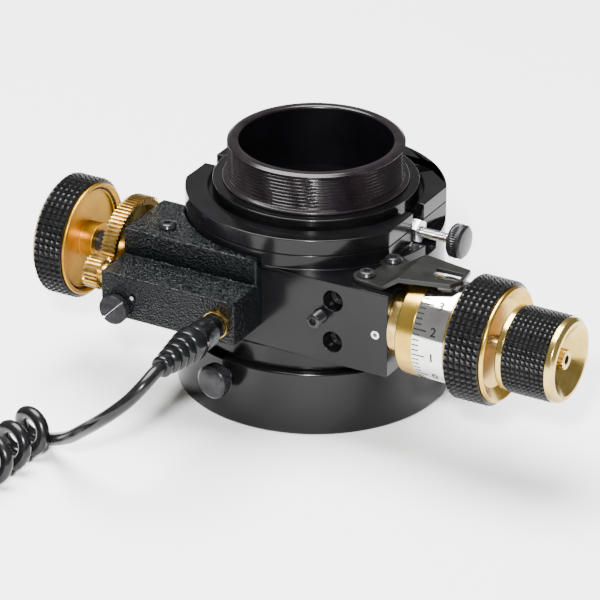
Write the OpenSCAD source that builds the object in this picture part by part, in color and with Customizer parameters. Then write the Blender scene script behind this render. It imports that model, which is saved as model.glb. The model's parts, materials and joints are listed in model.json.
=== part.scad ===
// Motorised Crayford focuser for a telescope, millimetres.
// +Z runs up the optical axis, +X runs along the focus shaft to the fine knob,
// and the origin is the centre of the base ring's underside.

/* [Base ring] */
// Outer radius of the base ring
base_r = 39.8; // [38.5:0.1:41]
// Height of the base ring
base_h = 19.5; // [18:0.1:21]
// Wall radius of the telescope thread
scope_thread_r = 34; // [31:0.1:35]
// Depth of the telescope thread
scope_thread_h = 6; // [4:0.1:7]
// Height of the base thumbscrews above the underside
base_screw_z = 14.8; // [13:0.1:15]
// Azimuth of the first base thumbscrew
base_screw_angle = 260; // [240:1:300]

/* [Body] */
// Radius of the round part of the body
body_r = 37.3; // [37:0.1:38]
// Radius of the spigot that turns in the base ring
spigot_r = 36; // [35.5:0.1:36.2]
// Underside height of the front block
block_z = 26; // [24:0.1:28]
// Top height of the front block
block_top = 51; // [50:0.1:52]
// Left end of the front block
block_left = -39.2; // [-39.4:0.1:-38.6]
// Right end of the front block
block_right = 43.3; // [42.8:0.1:43.5]
// Depth of the front block from front to back
block_d = 23; // [20:0.5:28]
// Height where the top collar starts
collar_z = 55.3; // [55:0.1:56]
// Top height of the collar
collar_top = 60; // [59.5:0.1:60.4]
// Distance of the collar's right flat from the axis
flat_right = 33; // [32.5:0.1:34]
// Distance of the collar's left flat from the axis
flat_left = 34.6; // [33:0.1:35.5]
// Width of the two side slots
slot_w = 6.4; // [6:0.1:7]

/* [Drawtube] */
// Outer radius of the drawtube
tube_r = 26; // [25.8:0.05:26.2]
// Clear radius through the drawtube
clear_r = 22; // [21:0.1:22.2]
// Radius of the drawtube's top flange
flange_r = 29.5; // [29:0.1:30]
// Top height of the flange with the tube racked in
flange_top = 62.5; // [62:0.1:63]
// Outer radius of the two-inch thread
thread_r = 25.4; // [25.4:0.1:25.5]
// Height of the threaded stretch
thread_h = 9.7; // [8:0.1:11]
// Distance of the drawtube's drive flat from the axis
drive_flat = 23.5; // [23.3:0.1:23.7]

/* [Bearings] */
// Outer radius of a ball bearing
bearing_r = 5; // [4.8:0.05:5]
// Width of a ball bearing
bearing_w = 4; // [3:0.1:4.2]
// Azimuth of the right pair of bearings, mirrored on the left
bearing_angle = 49; // [45:1:52]
// Height of the upper pair of bearings
bearing_high = 53; // [52.5:0.1:53.1]
// Height of the lower pair of bearings
bearing_low = 31.5; // [31:0.1:33]

/* [Focus shaft] */
// Radius of the focus shaft
shaft_r = 3; // [2.9:0.05:3]
// Height of the focus shaft
shaft_z = 39.9; // [39.7:0.1:40.1]
// Outer radius of the reduction housing's flange
reducer_r = 10.8; // [10:0.1:11.5]
// Contact radius of the fine shaft in the ball reducer
sun_r = 0.8; // [0.8:0.05:0.8]
// Reduction ratio of the ball reducer
reduction = 10; // [10:1:10]

/* [Knobs] */
// Outer radius of the coarse rubber grips
grip_r = 17.7; // [17:0.1:18.2]
// Radius of the polished lips beside the grips
lip_r = 16.5; // [16:0.1:16.9]
// Radius of the scale dial
dial_r = 14.5; // [14.3:0.1:14.8]
// Outer radius of the fine rubber grip
fine_grip_r = 12.4; // [12.2:0.1:13]
// Radius of the fine knob's gold rims
fine_rim_r = 12.1; // [11.8:0.1:12.2]
// Place of the left knob's inner face along the shaft
left_face_x = -57.8; // [-59:0.1:-57]

/* [Gears] */
// Gear module
gear_module = 0.4; // [0.4:0.1:0.4]
// Teeth on the drive gear
drive_teeth = 78; // [78:1:78]
// Teeth on the motor gear
motor_teeth = 22; // [22:1:22]
// Left face of both gears
gear_x = -46.6; // [-46.9:0.1:-46.4]
// Width of the drive gear's rim
gear_w = 4.4; // [3.6:0.1:4.6]

/* [Motor cover] */
// Left end of the motor cover
cover_left = -39.8; // [-40.2:0.1:-39.6]
// Right end of the motor cover
cover_right = 3.2; // [2.8:0.1:3.6]
// Front of the cover's lower box
cover_front = -52.6; // [-53:0.1:-52.5]
// Front of the cover's upper part
cover_step_y = -40; // [-40.4:0.1:-39]
// Underside of the cover
cover_low = 32; // [31.5:0.1:32.1]
// Height of the step above the motor
cover_step_z = 45.2; // [45.2:0.1:46]
// Top of the cover
cover_top = 53.2; // [52.6:0.1:54]
// Back edge of the cover's top
cover_back = -18; // [-20:0.5:-16]
// Height of the motor
motor_z = 38.6; // [38.5:0.1:38.7]
// Height of the jack
jack_z = 38.2; // [37.8:0.1:38.6]
// Place of the jack along the cover
jack_x = -2; // [-2.4:0.1:-1.7]

/* [Index plate] */
// Thickness of the index plate
plate_t = 1.3; // [1:0.1:1.6]
// Underside of the plate over the dial
plate_high = 55.2; // [55:0.1:55.6]

/* [Lock screw] */
// Height of the drawtube lock screw
lock_z = 53; // [52.5:0.1:53.5]
// Radius of the thumbscrew heads
thumb_r = 5; // [4.5:0.1:5]

/* [Cord] */
// Radius of the cord
cord_r = 1.9; // [1.6:0.1:2]
// Outer radius of the curly stretch
curly_r = 6.85; // [6.6:0.05:6.9]
// Where the strain relief ends and the cord starts
relief_end = -83.5; // [-84:0.5:-83]
// Radius of the bend in the curly stretch
curly_bend = 18; // [16:1:22]
// Length of the curly stretch after its bend
curly_run = 105; // [95:1:115]

/* [Hidden] */
$fn = 64;
black = "#1b1b1d";
gold = "#cf9a2e";
steel = "#b9bbbd";
rubber = "#141414";

neck_z = base_h + 0.1;
spigot_z = scope_thread_h + 0.2;
body_bore = tube_r + 1;
tube_bore = clear_r + 0.3;
nipple_r = clear_r + 2;
nipple_z = 56;
collar_bore = flange_r + 1.3;
strip_t = 0.5;
touch = 0.1;
shaft_y = -(drive_flat + strip_t + touch + shaft_r);
axle_r = 1.5;
fit = 0.05;
bearing_at = tube_r + 0.15 + bearing_r;
ball_r = sun_r * (reduction - 2) / 2;
ball_at = sun_r + ball_r;
race_r = sun_r + 2 * ball_r;
ball_x = 38.6;
spigot2_r = race_r + 1.4;
spigot2_x = 33.1;
sleeve_r = 5.9;
pitch_drive = gear_module * drive_teeth / 2;
pitch_motor = gear_module * motor_teeth / 2;
gear_distance = pitch_drive + pitch_motor;
mesh_angle = 176;
motor_gear_y = shaft_y + gear_distance * cos(mesh_angle);
motor_gear_z = shaft_z + gear_distance * sin(mesh_angle);
motor_y = -46;
wall = 1.2;
motor_r = 5.2;
bracket_x = -33.2;
bracket_t = 1.5;
gearbox_x = bracket_x + bracket_t;
motor_x = -23.4;
cap_x = 26;
tension_x = 22.2;
plate_screws = [[33, -30.5], [35.2, -19]];
cover_screw = [-29.4, -33.3];
cover_hole_z = 47;
slotted = [-34.9, 34.8];
small_screw = [-29.5, 39.2];
small_screw_r = 0.6;
dial_from = 52.8;
dial_to = 62.4;
set_screw_x = 50.1;
plug_start = -55;
relief_start = -66;
curly_z = 6.9;
curly_x = -45;
curly_from = -75;
curly_turn = -106;
curly_heading = 118;
tail_bend = 10;

// The cord's straight stretch from the plug to the curly part.
lead = [
    [-2, -83.5, 38.2], [-2, -87, 38], [-3, -91.2, 35.8], [-6, -94, 31.8],
    [-10.5, -95.4, 27.4], [-16, -94.8, 22.6], [-22, -92.5, 17.5], [-27.5, -89.5, 12.9],
    [-32.5, -86, 9.3], [-36.8, -82.8, 6.4], [-40.6, -80.5, 4.3]
];
// The curly stretch's axis: straight, round a bend, and straight again.
bend_steps = 7;
bend_total = 270 - curly_heading;
bend_centre = [curly_x - curly_bend, curly_turn];
function on_bend(a) = [for (p = [bend_centre + curly_bend * [cos(a), sin(a)]]) each [p.x, p.y, curly_z]];
run_dir = [cos(curly_heading), sin(curly_heading), 0];
side_dir = [sin(curly_heading), -cos(curly_heading), 0];
bend_end = on_bend(-bend_total);
curly_end = bend_end + curly_run * run_dir;
curly_axis = concat(
    [[curly_x, curly_from, curly_z]],
    [for (i = [0:bend_steps]) on_bend(-bend_total * i / bend_steps)],
    [bend_end + curly_run / 2 * run_dir, curly_end]
);
// The tail leaves the curly stretch's end, turns back and lies beside it.
floor_z = cord_r + 0.1;
tail_start = [curly_end.x, curly_end.y, floor_z];
tail_centre = tail_start + 6 * run_dir + tail_bend * side_dir;
tail_side = tail_centre + tail_bend * side_dir;
far_plug_z = 4.1;
tail_end = tail_side - 45 * run_dir + [0, 0, far_plug_z - floor_z];
tail = concat(
    [tail_start, tail_start + 3 * run_dir],
    [for (a = [180:-30:0]) tail_centre + tail_bend * (cos(a) * side_dir + sin(a) * run_dir)],
    [tail_side - 15 * run_dir, tail_side - 30 * run_dir + [0, 0, 0.8], tail_end + 4 * run_dir, tail_end]
);

// ---- shared shapes ----

// A tube about the optical axis.
module tube(outer, inner, low, high) {
    difference() {
        translate([0, 0, low]) cylinder(h = high - low, r = outer);
        translate([0, 0, low - 1]) cylinder(h = high - low + 2, r = inner);
    }
}

// A rod along X at the focus shaft's place.
module rod_x(from, to, r, y = shaft_y, z = shaft_z) {
    translate([from, y, z]) rotate([0, 90, 0]) cylinder(h = to - from, r = r);
}

// A rod along Y.
module rod_y(from, to, r, x, z) {
    translate([x, to, z]) rotate([90, 0, 0]) cylinder(h = to - from, r = r);
}

// A profile of [radius, x] points turned about the focus shaft.
module turned_x(profile) {
    translate([0, shaft_y, shaft_z]) rotate([90, 0, 90]) rotate_extrude() polygon(profile);
}

// A profile of [radius, distance] points turned about a line that runs to -Y.
module turned_y(profile, x, z) {
    translate([x, 0, z]) rotate([90, 0, 0]) rotate_extrude() polygon(profile);
}

// A socket screw with a low round head, its seat at z = 0 and its shank below.
module button_screw(head_r, head_h, shank_r, shank_l) {
    difference() {
        union() {
            rotate_extrude() polygon([[0, 0], [head_r, 0], [head_r, head_h * 0.3],
                [head_r * 0.8, head_h * 0.85], [head_r * 0.55, head_h], [0, head_h]]);
            translate([0, 0, -shank_l]) cylinder(h = shank_l + 0.1, r = shank_r);
        }
        translate([0, 0, head_h * 0.35]) cylinder(h = head_h, r = head_r * 0.42, $fn = 6);
    }
}

// A thumbscrew along +X with a pointed tip, from the tip's radius to its head.
module thumbscrew(tip, head, head_t, r, point) {
    rotate([0, 90, 0]) {
        translate([0, 0, tip]) cylinder(h = point, r1 = r - point, r2 = r);
        translate([0, 0, tip + point]) cylinder(h = head - tip - point + 0.1, r = r);
        translate([0, 0, head]) rotate_extrude() polygon([[0, 0], [thumb_r - 0.5, 0], [thumb_r, 0.5],
            [thumb_r, head_t - 0.6], [thumb_r - 0.6, head_t], [0, head_t]]);
    }
}

// A spur gear's outline with a tooth centred at the given angle.
function gear_points(teeth, at) = [
    for (i = [0:teeth - 1])
        for (p = [[-0.29, -1.2], [-0.11, 0.9], [0.11, 0.9], [0.29, -1.2]])
            let (a = at + (i + p[0]) * 360 / teeth, r = gear_module * (teeth / 2 + p[1]))
                [r * cos(a), r * sin(a)]
];

// A gear about a line along X.
module gear(teeth, at, y, z, from, width) {
    translate([from, y, z]) rotate([90, 0, 90])
        linear_extrude(height = width) polygon(gear_points(teeth, at));
}

// Directions along a path, and the ring of points that a round section has there.
function unit(v) = v / norm(v);
function heading(path, i) =
    unit(path[min(i + 1, len(path) - 1)] - path[max(i - 1, 0)]);
function ring_at(path, i, r, sides) =
    let (t = heading(path, i), s = unit(cross(t, [0, 0, 1])), u = cross(s, t))
        [for (k = [0:sides - 1]) path[i] + r * (cos(360 * k / sides) * s + sin(360 * k / sides) * u)];

// A round section swept along a path of points.
module swept(path, r, sides) {
    n = len(path);
    points = [for (i = [0:n - 1]) each ring_at(path, i, r, sides)];
    sides_faces = [for (i = [0:n - 2]) for (k = [0:sides - 1])
        let (a = i * sides + k, b = i * sides + (k + 1) % sides)
            each [[a, b, b + sides], [a, b + sides, a + sides]]];
    polyhedron(points, concat([[for (k = [sides - 1:-1:0]) k]], sides_faces,
        [[for (k = [0:sides - 1]) (n - 1) * sides + k]]));
}

// A bearing's place: local Z runs along its axle.
module at_bearing(angle, z) {
    rotate([0, 0, angle]) translate([bearing_at, 0, z]) rotate([-90, 0, 0]) children();
}

// The slots of the collar and the bearing pockets that open upward.
module top_cuts() {
    for (side = [0, 180]) rotate([0, 0, side])
        translate([tube_r, -slot_w / 2, lock_z - 5.5]) cube([20, slot_w, 20]);
    for (side = [0, 1]) mirror([side, 0, 0]) {
        translate([side == 0 ? flat_right : flat_left, -body_r - 5, block_top])
            cube([20, 2 * body_r + 10, 20]);
        rotate([0, 0, bearing_angle])
            translate([tube_r - 2, -bearing_w / 2 - 0.3, bearing_high - bearing_r - 0.4])
                cube([bearing_r * 2 + 2.6, bearing_w + 0.6, 20]);
    }
}

// ---- body ----

module focuser_body() {
    color(black) difference() {
        union() {
            translate([0, 0, spigot_z]) cylinder(h = neck_z - spigot_z, r = spigot_r);
            translate([0, 0, neck_z]) cylinder(h = collar_z - neck_z, r = body_r);
            translate([block_left, -body_r, block_z])
                cube([block_right - block_left, block_d, block_top - block_z]);
        }
        translate([0, 0, spigot_z - 1]) cylinder(h = collar_z, r = body_bore);
        top_cuts();
        groove();
        rod_x(block_left - 1, block_right + 1, shaft_r + 0.6);
        rod_x(block_left - 1, -33, 5.5);
        rod_x(29.6, block_right + 1, 5.5);
        rod_x(spigot2_x - 0.1, block_right + 1, spigot2_r);
        for (side = [0, 1]) mirror([side, 0, 0]) {
            rotate([0, 0, bearing_angle])
                translate([tube_r - 2, -bearing_w / 2 - 0.3, bearing_low - bearing_r - 0.5])
                    cube([bearing_r * 2 + 2.6, bearing_w + 0.6, bearing_r * 2 + 1]);
            for (z = [bearing_low, bearing_high])
                at_bearing(bearing_angle, z) translate([0, 0, -8]) cylinder(h = 35, r = axle_r);
        }
        rod_y(-body_r - 1, shaft_y - shaft_r, 2, tension_x, shaft_z);
        for (dz = [-7.2, 5.5]) {
            rod_y(-body_r - 1, -30.3, 3, cap_x, shaft_z + dz);
            rod_y(-31, -20, axle_r, cap_x, shaft_z + dz);
        }
        rod_y(-body_r - 1, -34, 1.25, 39.5, shaft_z - 1.6);
        for (p = plate_screws) translate([p.x, p.y, 48.4]) cylinder(h = 5, r = 1.25);
        translate([cover_screw.x, cover_screw.y, cover_hole_z]) cylinder(h = 6, r = 1.25);
    }
}

// The groove that the base thumbscrews' points run in.
module groove() {
    translate([0, 0, base_screw_z]) rotate_extrude()
        polygon([[spigot_r - 2.1, 0], [spigot_r + 0.5, -2.6], [spigot_r + 0.5, 2.6]]);
}

module top_collar() {
    color(black) difference() {
        tube(body_r, body_bore, collar_z, collar_top);
        translate([0, 0, collar_top - 2.2]) cylinder(h = 5, r = collar_bore);
        top_cuts();
    }
}

module bearing_axles() {
    color(steel) for (side = [0, 1]) mirror([side, 0, 0])
        for (z = [bearing_low, bearing_high])
            at_bearing(bearing_angle, z) translate([0, 0, -8]) cylinder(h = 26, r = axle_r);
}

module reduction_housing() {
    color("#8a7440") turned_x([[race_r + fit, spigot2_x], [spigot2_r, spigot2_x],
        [spigot2_r, block_right], [reducer_r, block_right], [reducer_r, 46.6],
        [reducer_r - 0.6, 47.2], [race_r + fit, 47.2]]);
}

module shaft_bushes() {
    color("#a5793a") for (x = [[block_left, -33], [29.6, spigot2_x - 0.1]])
        difference() {
            rod_x(x[0], x[1], 5.5);
            rod_x(x[0] - 1, x[1] + 1, shaft_r + fit);
        }
}

module tension_pad() {
    color("ivory") rod_y(-33, shaft_y - shaft_r - touch, 2, tension_x, shaft_z);
}

module tension_screw() {
    color(steel) difference() {
        rod_y(-41.8, -33, 2, tension_x, shaft_z);
        translate([tension_x, -40.3, shaft_z]) rotate([90, 0, 0]) cylinder(h = 3, r = 1.1, $fn = 6);
    }
}

module body_cap_screws() {
    color("#303033") for (dz = [-7.2, 5.5]) difference() {
        union() {
            rod_y(-33.3, -30.3, 2.75, cap_x, shaft_z + dz);
            rod_y(-30.4, -21, axle_r, cap_x, shaft_z + dz);
        }
        translate([cap_x, -31.8, shaft_z + dz]) rotate([90, 0, 0]) cylinder(h = 3, r = 1.4, $fn = 6);
    }
}

module reduction_set_screw() {
    color(steel) difference() {
        rod_y(-body_r - 0.1, -body_r + 1.4, 1.25, 39.5, shaft_z - 1.6);
        translate([39.5, -body_r + 0.8, shaft_z - 1.6]) rotate([90, 0, 0])
            cylinder(h = 3, r = 0.7, $fn = 6);
    }
}

module lock_nut() {
    color(steel) translate([31.2, 0, lock_z]) rotate([0, 90, 0]) difference() {
        cylinder(h = 2.8, r = (slot_w / 2 - fit) / cos(30), $fn = 6);
        translate([0, 0, -1]) cylinder(h = 5, r = axle_r + fit);
    }
}

// ---- index plate ----

module index_plate() {
    color("#232325") difference() {
        intersection() {
            translate([0, -10, 0]) rotate([90, 0, 0]) linear_extrude(height = 28) polygon([
                [28, block_top], [40, block_top], [45.5, plate_high], [62, plate_high],
                [62, plate_high + plate_t], [45, plate_high + plate_t],
                [39.5, block_top + plate_t], [28, block_top + plate_t]]);
            translate([0, 0, block_top - 1]) linear_extrude(height = 20) union() {
                translate(plate_screws[0]) circle(r = 3.8);
                translate(plate_screws[1]) circle(r = 3.8);
                polygon([[33, -34.3], [46, -35.6], [59.6, -32], [61.5, -28.1], [60.3, -20.9],
                    [49.8, -19.1], [42.9, -18], [35.2, -15.2], [33, -26.7]]);
            }
        }
        translate([0, 0, block_top - 2]) cylinder(h = 20, r = body_r + 0.3);
        translate([0, 0, plate_high - 1]) linear_extrude(height = 5)
            polygon([[52.4, -28.3], [51.9, -24.4], [59.8, -24.1], [60.3, -28.8], [54.8, -30.5]]);
        for (p = plate_screws) translate([p.x, p.y, block_top - 1]) cylinder(h = 5, r = 1.35);
    }
}

module index_plate_screws() {
    color("#2c2c2e") for (p = plate_screws)
        translate([p.x, p.y, block_top + plate_t]) button_screw(2.6, 1.5, 1.25, 3.6);
}

// ---- motor unit ----

module motor_cover() {
    color("#202023") difference() {
        union() {
            translate([cover_left, cover_front, cover_low])
                cube([cover_right - cover_left, -body_r - cover_front, cover_step_z - cover_low]);
            translate([cover_left, cover_step_y, cover_low])
                cube([cover_right - cover_left, -body_r - cover_step_y, cover_top - cover_low]);
            translate([cover_left, cover_step_y, block_top])
                cube([cover_right - cover_left, cover_back - cover_step_y, cover_top - block_top]);
        }
        translate([cover_left + wall, cover_front + wall, cover_low + wall])
            cube([cover_right - cover_left - 2 * wall, -body_r - cover_front - wall + 1,
                cover_step_z - cover_low - 2 * wall]);
        translate([0, 0, block_top - 1]) cylinder(h = 10, r = body_r + 0.1);
        rod_x(cover_left - 1, cover_left + 2, 1.5, motor_gear_y, motor_gear_z);
        rod_y(cover_front - 1, cover_front + 2, 3 + fit, jack_x, jack_z);
        rod_y(cover_front - 1, cover_front + 2, 1.5, slotted.x, slotted.y);
        rod_y(cover_front - 1, cover_front + 2, small_screw_r, small_screw.x, small_screw.y);
        translate([cover_screw.x, cover_screw.y, block_top - 1]) cylinder(h = 6, r = 1.35);
    }
}

module cover_top_screw() {
    color("#2c2c2e") translate([cover_screw.x, cover_screw.y, cover_top])
        button_screw(2.6, 1.5, 1.25, cover_top - cover_hole_z - 0.2);
}

module cover_slotted_screw() {
    color("#303236") difference() {
        union() {
            rod_y(cover_front - 2.2, cover_front, 4.35, slotted.x, slotted.y);
            rod_y(cover_front - 0.1, -41, axle_r, slotted.x, slotted.y);
        }
        translate([slotted.x, cover_front - 2.2, slotted.y]) rotate([0, 45, 0])
            cube([0.6, 1.6, 12], center = true);
    }
}

module cover_small_screw() {
    color(steel) rod_y(cover_front - 0.5, cover_front + wall, small_screw_r,
        small_screw.x, small_screw.y);
}

module motor_bracket() {
    color("#6d6f72") difference() {
        union() {
            translate([bracket_x, cover_front + wall + 0.1, cover_low + wall])
                cube([bracket_t, -body_r - cover_front - wall - 0.1,
                    cover_step_z - cover_low - 2 * wall - 0.1]);
            translate([cover_left + wall, motor_y, cover_low + wall])
                cube([gearbox_x - cover_left - wall, -body_r - motor_y, 4.6]);
        }
        rod_x(bracket_x - 1, gearbox_x + 1, 1.4, motor_gear_y, motor_gear_z);
        rod_y(-47, -41, axle_r, slotted.x, slotted.y);
    }
}

module gearbox() {
    color("#c9a24a") difference() {
        rod_x(gearbox_x, motor_x, motor_r, motor_y, motor_z);
        rod_x(gearbox_x - 1, gearbox_x + 2.4, 1 + fit, motor_gear_y, motor_gear_z);
    }
}

module motor_can() {
    color(steel) union() {
        rod_x(motor_x, motor_x + 14, motor_r, motor_y, motor_z);
        rod_x(motor_x + 13.9, motor_x + 15.2, 1.6, motor_y, motor_z);
    }
}

module jack_socket() {
    color("#3a3a3d") difference() {
        union() {
            rod_y(cover_front + wall, -41.5, 3.4, jack_x, jack_z);
            rod_y(plug_start + 0.1, cover_front + wall + 0.1, 3, jack_x, jack_z);
        }
        rod_y(plug_start - 1, -43, 1.8, jack_x, jack_z);
    }
}

module jack_nut() {
    color("#c8a048") difference() {
        rod_y(cover_front - 1.7, cover_front, 4, jack_x, jack_z);
        rod_y(cover_front - 3, cover_front + 1, 3, jack_x, jack_z);
    }
}

// ---- cord ----

module plug() {
    color("#4a4c50") turned_y([[0, 44], [1.2, 44], [1.7, 45], [1.7, -plug_start], [3.7, -plug_start],
        [3.7, 58.4], [4.4, 58.4], [4.4, 65.2], [4.1, 65.8], [3.6, -relief_start], [0, -relief_start]],
        jack_x, jack_z);
}

// A ribbed sleeve from the plug's shell to the cord, in distances from its start.
function relief_profile(long) = concat([[0, 0], [4.8, 0], [5, 0.6], [5, 4.5]],
    [for (k = [0:2]) each [[3.4 - 0.2 * k, 4.7 + 3.1 * k], [3.4 - 0.2 * k, 5.3 + 3.1 * k],
        [4.55 - 0.45 * k, 5.5 + 3.1 * k], [4.45 - 0.45 * k, 7.6 + 3.1 * k]]],
    [[2.7, 14], [2.7, 15], [3.1, 15.2], [3.1, long - 0.4], [2.6, long], [0, long]]);

module strain_relief() {
    color(rubber) translate([jack_x, relief_start, jack_z]) rotate([90, 0, 0])
        rotate_extrude() polygon(relief_profile(relief_start - relief_end));
}

module cord_lead() {
    color(rubber) swept(lead, cord_r, 8);
}

module curly_cord() {
    color(rubber) swept(curly_axis, curly_r, 12);
}

module cord_tail() {
    color(rubber) swept(tail, cord_r, 8);
}

// The far plug's pieces lie along the tail's last direction.
module at_far_plug() {
    translate(tail_end) rotate([0, 0, curly_heading - 180]) rotate([0, 90, 0]) children();
}

module far_strain_relief() {
    color(rubber) at_far_plug() mirror([0, 0, 1]) translate([0, 0, -16])
        rotate_extrude() polygon([[0, 0], [3.9, 0], [4.1, 1.5], [4.1, 4], [3.3, 5], [3, 10],
            [2.6, 16], [0, 16]]);
}

module far_plug() {
    color("#4a4c50") at_far_plug() translate([0, 0, 16]) rotate_extrude()
        polygon([[0, 0], [3.4, 0], [4, 2], [4, 8], [3.7, 8.4], [3.7, 12], [1.7, 12], [1.7, 21],
            [1, 23], [0, 23]]);
}

// ---- drawtube ----

module drawtube() {
    color("#101012") difference() {
        union() {
            tube(tube_r, tube_bore, spigot_z + 1.8, flange_top);
            tube(flange_r, tube_bore, flange_top - 4.2, flange_top);
        }
        translate([0, 0, nipple_z]) cylinder(h = 10, r = nipple_r);
        translate([-30, -30 - drive_flat, 0]) cube([60, 30, flange_top - 4.7]);
    }
}

module thread_adapter() {
    color("#17171a") difference() {
        union() {
            translate([0, 0, nipple_z]) cylinder(h = 7, r = nipple_r);
            translate([0, 0, flange_top]) cylinder(h = 0.9, r = thread_r + 1.3);
            translate([0, 0, flange_top]) cylinder(h = 0.9 + thread_h, r = thread_r);
            translate([0, 0, flange_top]) cylinder(h = 2.1 + thread_h, r = thread_r - 0.6);
        }
        translate([0, 0, 50]) cylinder(h = 40, r = clear_r);
    }
}

module drive_strip() {
    color(steel) translate([-5, -drive_flat - strip_t, 9.5]) cube([10, strip_t, nipple_z - 9.6]);
}

module baffle_ring() {
    color("#101012") tube(tube_bore, clear_r - 1.2, spigot_z + 2.3, spigot_z + 5.3);
}

// ---- focus shaft and knobs ----

module drive_shaft() {
    color("#3c3d40") difference() {
        union() {
            rod_x(left_face_x - 8.8, 34, shaft_r);
            rod_x(spigot2_x + 0.4, 43.9, race_r - 0.4);
            rod_x(43.8, 62.2, sleeve_r);
        }
        rod_x(34.8, 60, sun_r + 0.1);
        rod_x(42.3, 70, 2 + 0.08);
        for (a = [0, 120, 240]) translate([ball_x, shaft_y, shaft_z]) rotate([a, 0, 0])
            translate([0, 0, ball_at]) sphere(r = ball_r + fit);
    }
}

module reduction_balls() {
    color(steel) for (a = [0, 120, 240]) translate([ball_x, shaft_y, shaft_z]) rotate([a, 0, 0])
        translate([0, 0, ball_at]) sphere(r = ball_r);
}

module coarse_knob() {
    color(gold) difference() {
        turned_x([[sleeve_r, 47.5], [dial_r - 0.4, 47.5], [dial_r, 47.9], [dial_r, dial_from],
            [dial_r - 0.6, dial_from], [dial_r - 0.6, dial_to], [dial_r, dial_to], [dial_r, 74.4],
            [lip_r, 74.4], [lip_r, 75.2], [lip_r - 0.6, 75.7], [fine_rim_r + 0.4, 73],
            [2 + 0.08, 73], [2 + 0.08, 62.2], [sleeve_r, 62.2]]);
        translate([set_screw_x, shaft_y, shaft_z]) cylinder(h = 30, r = 1.25);
    }
}

module scale_dial() {
    color("#d9dadb") turned_x([[dial_r - 0.6, dial_from], [dial_r, dial_from],
        [dial_r, dial_to], [dial_r - 0.6, dial_to]]);
}

module coarse_grip() {
    color(rubber) turned_x([[dial_r, 63.9], [grip_r - 0.4, 63.9], [grip_r, 64.3], [grip_r, 74],
        [grip_r - 0.4, 74.4], [dial_r, 74.4]]);
}

module coarse_set_screw() {
    color(steel) translate([set_screw_x, shaft_y, shaft_z]) difference() {
        translate([0, 0, sleeve_r]) cylinder(h = 7, r = 1.25);
        translate([0, 0, sleeve_r + 5]) cylinder(h = 3, r = 0.7, $fn = 6);
    }
}

module drive_gear() {
    color("#c8962f") difference() {
        union() {
            difference() {
                gear(drive_teeth, mesh_angle + 180 / drive_teeth, shaft_y, shaft_z, gear_x, gear_w);
                rod_x(gear_x + 1.6, gear_x + gear_w + 1, pitch_drive - 2);
            }
            rod_x(gear_x + 1, gear_x + gear_w + 1.2, 6);
        }
        rod_x(gear_x - 1, gear_x + gear_w + 2, shaft_r);
    }
}

module left_knob() {
    color(gold) turned_x([[shaft_r, left_face_x + 2.2], [5.2, left_face_x + 2.2],
        [5.2, left_face_x - 1.9], [lip_r - 2.2, left_face_x - 1.9],
        [lip_r - 0.9, left_face_x], [lip_r - 0.2, left_face_x], [lip_r, left_face_x - 0.3],
        [lip_r, left_face_x - 0.9], [dial_r, left_face_x - 0.9], [dial_r, left_face_x - 9.8],
        [lip_r, left_face_x - 9.8], [lip_r, left_face_x - 10.2], [lip_r - 0.5, left_face_x - 10.7],
        [0, left_face_x - 10.7], [0, left_face_x - 8.8], [shaft_r, left_face_x - 8.8]]);
}

module left_grip() {
    color(rubber) turned_x([[dial_r, left_face_x - 0.9], [grip_r - 0.4, left_face_x - 0.9],
        [grip_r, left_face_x - 1.3], [grip_r, left_face_x - 9.4], [grip_r - 0.4, left_face_x - 9.8],
        [dial_r, left_face_x - 9.8]]);
}

module left_knob_screw() {
    color("#2c2c2e") translate([left_face_x - 10.7, shaft_y, shaft_z]) rotate([0, -90, 0])
        button_screw(3.2, 1.8, 1.2, 0);
}

module fine_shaft() {
    color(steel) union() {
        rod_x(35, 43, sun_r - fit);
        rod_x(42.6, 86.5, 2);
    }
}

module fine_knob() {
    color(gold) turned_x([[2, 77], [fine_rim_r - 0.3, 77], [fine_rim_r, 77.3], [fine_rim_r, 79],
        [9.8, 79], [9.8, 92], [fine_rim_r, 92], [fine_rim_r, 93.6], [fine_rim_r - 1, 94.6],
        [fine_rim_r - 1.9, 94.6], [3.6, 89], [0, 89], [0, 86.5], [2, 86.5]]);
}

module fine_grip() {
    color(rubber) turned_x([[9.8, 79], [fine_grip_r - 0.3, 79], [fine_grip_r, 79.3], [fine_grip_r, 91.7],
        [fine_grip_r - 0.3, 92], [9.8, 92]]);
}

module fine_knob_screw() {
    color("#e0b040") difference() {
        rod_x(89, 93.2, 3);
        translate([91.6, shaft_y, shaft_z]) rotate([0, 90, 0]) cylinder(h = 3, r = 1.5, $fn = 6);
    }
}

module motor_gear() {
    color("#cfa03a") difference() {
        union() {
            gear(motor_teeth, mesh_angle + 180, motor_gear_y, motor_gear_z, gear_x, gear_w);
            rod_x(gear_x + gear_w - 0.1, gear_x + gear_w + 1.4, 3, motor_gear_y, motor_gear_z);
        }
        rod_x(gear_x - 1, gear_x + gear_w + 3, 1, motor_gear_y, motor_gear_z);
    }
}

module motor_shaft() {
    color(steel) rod_x(gear_x - 0.6, gearbox_x + 2, 1, motor_gear_y, motor_gear_z);
}

// ---- bearings, thumbscrews and base ----

module bearing(angle, z) {
    w = bearing_w / 2;
    color("#c4c7ca") at_bearing(angle, z) rotate_extrude() polygon([
        [axle_r + fit, -w], [2.6, -w], [2.6, 0.3 - w], [4.3, 0.3 - w], [4.3, -w], [bearing_r, -w],
        [bearing_r, w], [4.3, w], [4.3, w - 0.3], [2.6, w - 0.3], [2.6, w], [axle_r + fit, w]]);
}

module lock_thumbscrew() {
    color("#252527") translate([0, 0, lock_z]) thumbscrew(26.5, 43.7, 4.5, axle_r, 0.4);
}

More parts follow.
